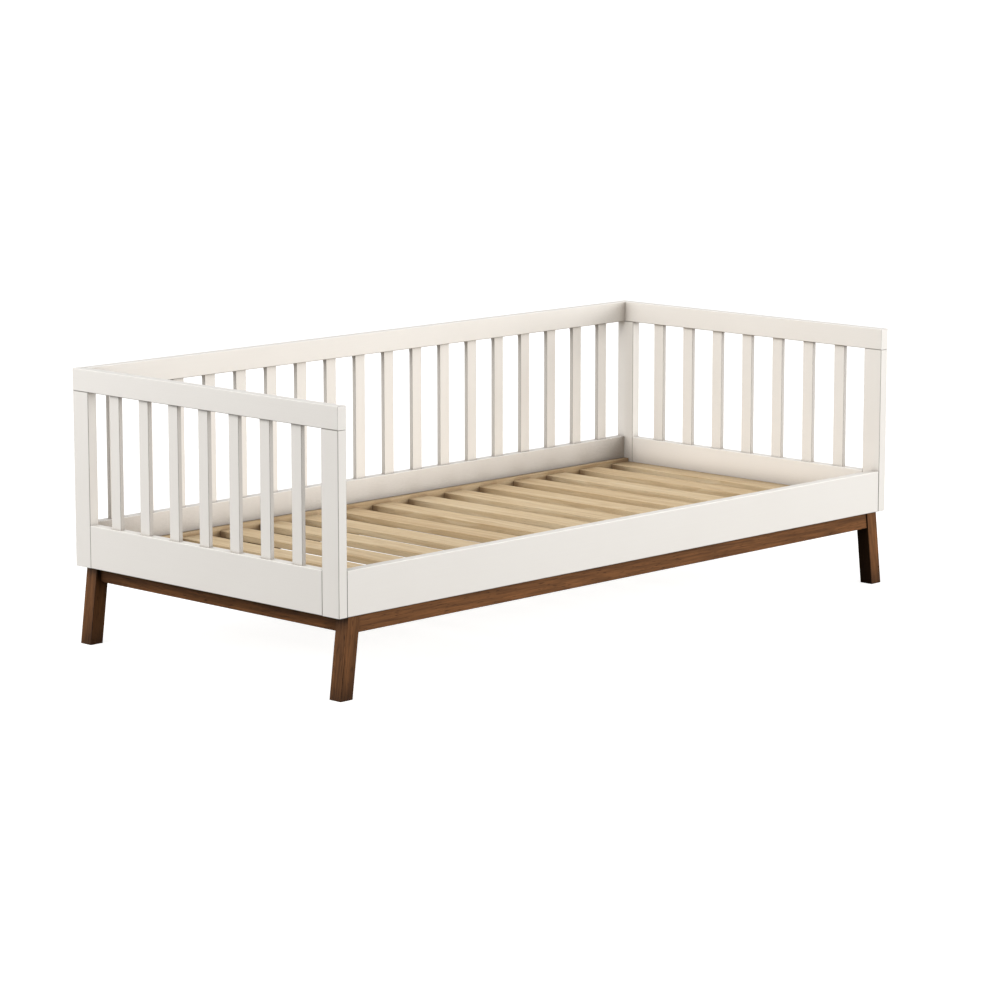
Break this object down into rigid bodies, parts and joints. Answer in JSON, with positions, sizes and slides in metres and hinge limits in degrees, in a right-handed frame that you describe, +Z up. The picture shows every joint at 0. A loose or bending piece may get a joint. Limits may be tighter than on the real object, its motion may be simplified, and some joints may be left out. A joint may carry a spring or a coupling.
{
  "type": "toddler bed",
  "caption": "Low toddler bed with slatted white ends and back, a low white front rail, a slatted wooden mattress base and a walnut-coloured base with splayed legs.",
  "frame": {"origin": "on the floor, under the middle of the bed", "axes": "+X along the bed's length to the right end, +Y from the open front to the back panel, +Z up"},
  "size_m": [1.66, 0.78, 0.568],
  "materials": {
    "white_lacquer": "satin white lacquer on smooth hardwood boards",
    "walnut": "walnut stain and satin clear lacquer, grain showing",
    "pale_wood": "bare planed pale wood, matt"
  },
  "bodies": {
    "root": {"back_left_brace": "walnut", "back_left_leg": "walnut", "back_lower_rail": "white_lacquer", "back_right_brace": "walnut", "back_right_leg": "walnut", "back_side_rail": "pale_wood", "back_slat_01": "white_lacquer", "back_slat_02": "white_lacquer", "back_slat_03": "white_lacquer", "back_slat_04": "white_lacquer", "back_slat_05": "white_lacquer", "back_slat_06": "white_lacquer", "back_slat_07": "white_lacquer", "back_slat_08": "white_lacquer", "back_slat_09": "white_lacquer", "back_slat_10": "white_lacquer", "back_slat_11": "white_lacquer", "back_slat_12": "white_lacquer", "back_slat_13": "white_lacquer", "back_slat_14": "white_lacquer", "back_slat_15": "white_lacquer", "back_slat_16": "white_lacquer", "back_slat_17": "white_lacquer", "back_slat_18": "white_lacquer", "back_stretcher": "walnut", "back_top_rail": "white_lacquer", "bed_slat_01": "pale_wood", "bed_slat_02": "pale_wood", "bed_slat_03": "pale_wood", "bed_slat_04": "pale_wood", "bed_slat_05": "pale_wood", "bed_slat_06": "pale_wood", "bed_slat_07": "pale_wood", "bed_slat_08": "pale_wood", "bed_slat_09": "pale_wood", "bed_slat_10": "pale_wood", "bed_slat_11": "pale_wood", "bed_slat_12": "pale_wood", "bed_slat_13": "pale_wood", "bed_slat_14": "pale_wood", "bed_slat_15": "pale_wood", "front_left_brace": "walnut", "front_left_leg": "walnut", "front_rail": "white_lacquer", "front_right_brace": "walnut", "front_right_leg": "walnut", "front_side_rail": "pale_wood", "front_stretcher": "walnut", "left_back_post": "white_lacquer", "left_front_post": "white_lacquer", "left_lower_rail": "white_lacquer", "left_slat_set": "white_lacquer", "left_stretcher": "walnut", "left_top_rail": "white_lacquer", "right_back_post": "white_lacquer", "right_front_post": "white_lacquer", "right_lower_rail": "white_lacquer", "right_slat_set": "white_lacquer", "right_stretcher": "walnut", "right_top_rail": "white_lacquer"}
  },
  "joints": []
}
